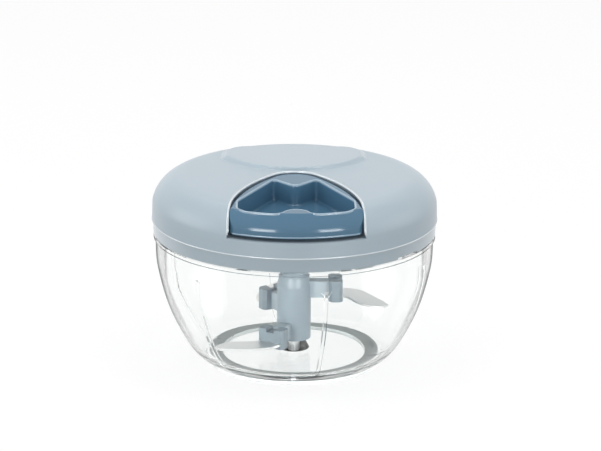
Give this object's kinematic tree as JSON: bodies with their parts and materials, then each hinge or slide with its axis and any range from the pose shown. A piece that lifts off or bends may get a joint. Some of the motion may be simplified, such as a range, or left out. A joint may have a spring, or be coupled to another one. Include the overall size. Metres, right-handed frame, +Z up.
{
  "type": "pull-cord food chopper",
  "caption": "Hand food chopper with a clear round bowl, a domed lid with a recessed ring handle on a cord, and blades on a turning column.",
  "frame": {"origin": "centre of the bowl's foot, on the table", "axes": "+Z up along the axis of the bowl and the blade unit; the handle faces -Y"},
  "size_m": [0.13, 0.13, 0.0888],
  "materials": {
    "clear_bowl": "clear",
    "pin_steel": "satin",
    "foot_rubber": "matte",
    "seal_rubber": "matte",
    "lid_band": "gloss",
    "lid_shell": "gloss",
    "screw_steel": "satin",
    "handle_blue": "gloss",
    "cord_fibre": "matte",
    "eyelet_steel": "polished",
    "drive_plastic": "matte",
    "spring_steel": "blued",
    "gear_plastic": "matte",
    "washer_plastic": "matte",
    "bush_brass": "satin",
    "socket_plastic": "satin",
    "column_plastic": "satin",
    "clamp_plastic": "satin",
    "blade_steel": "brushed"
  },
  "bodies": {
    "bowl": {"bowl": "clear_bowl", "bowl_pin": "pin_steel", "foot_ring": "foot_rubber"},
    "seal": {"lid_seal": "seal_rubber"},
    "lid": {"lid_cover": "lid_shell", "lid_base": "lid_band", "lid_screws": "screw_steel", "cord_eyelet": "eyelet_steel", "reel_axle": "pin_steel", "cord_lead": "cord_fibre", "drive_bush": "bush_brass"},
    "reel": {"cord_reel": "drive_plastic", "power_spring": "spring_steel", "spring_cover": "drive_plastic", "reel_gear": "gear_plastic", "cord_winding": "cord_fibre", "reel_washer": "washer_plastic"},
    "drive": {"drive_pinion": "gear_plastic", "drive_socket": "socket_plastic", "drive_screw": "screw_steel"},
    "handle": {"pull_handle": "handle_blue", "cord_knot": "cord_fibre", "cord_run": "cord_fibre"},
    "blades": {"blade_shaft": "column_plastic", "blade_clamps": "clamp_plastic", "blade_rivets": "screw_steel", "upper_blade": "blade_steel", "middle_blade": "blade_steel", "lower_blade": "blade_steel"}
  },
  "joints": [
    {"name": "lid_lift", "type": "slide", "parent": "bowl", "child": "seal", "axis": [0, 0, 1], "range_m": [0, 0.06]},
    {"name": "lid_turn", "type": "hinge", "parent": "seal", "child": "lid", "pos_m": [0, 0, 0.065], "axis": [0, 0, 1], "range_deg": [0, 22]},
    {"name": "handle_pull", "type": "slide", "parent": "lid", "child": "handle", "axis": [0, -1, 0], "range_m": [0, 0.28], "stiffness_N_per_m": 30, "springref_m": -0.1, "deforming": ["cord_winding", "cord_run"]},
    {"name": "reel_spin", "type": "hinge", "parent": "lid", "child": "reel", "pos_m": [0.015, 0.02154, 0.075], "axis": [0, 0, 1], "range_deg": [0, 1080]},
    {"name": "drive_spin", "type": "hinge", "parent": "lid", "child": "drive", "pos_m": [0, 0, 0.06], "axis": [0, 0, 1], "range_deg": [-2360, 0]},
    {"name": "blade_stay", "type": "slide", "parent": "drive", "child": "blades", "axis": [0, 0, 1], "range_m": [-0.06, 0]}
  ],
  "couplings": [
    {"joint": "reel_spin", "follows": "handle_pull", "rad_per_m": 66.667},
    {"joint": "drive_spin", "follows": "handle_pull", "rad_per_m": -145.45},
    {"joint": "blade_stay", "follows": "lid_lift", "ratio": -1}
  ]
}
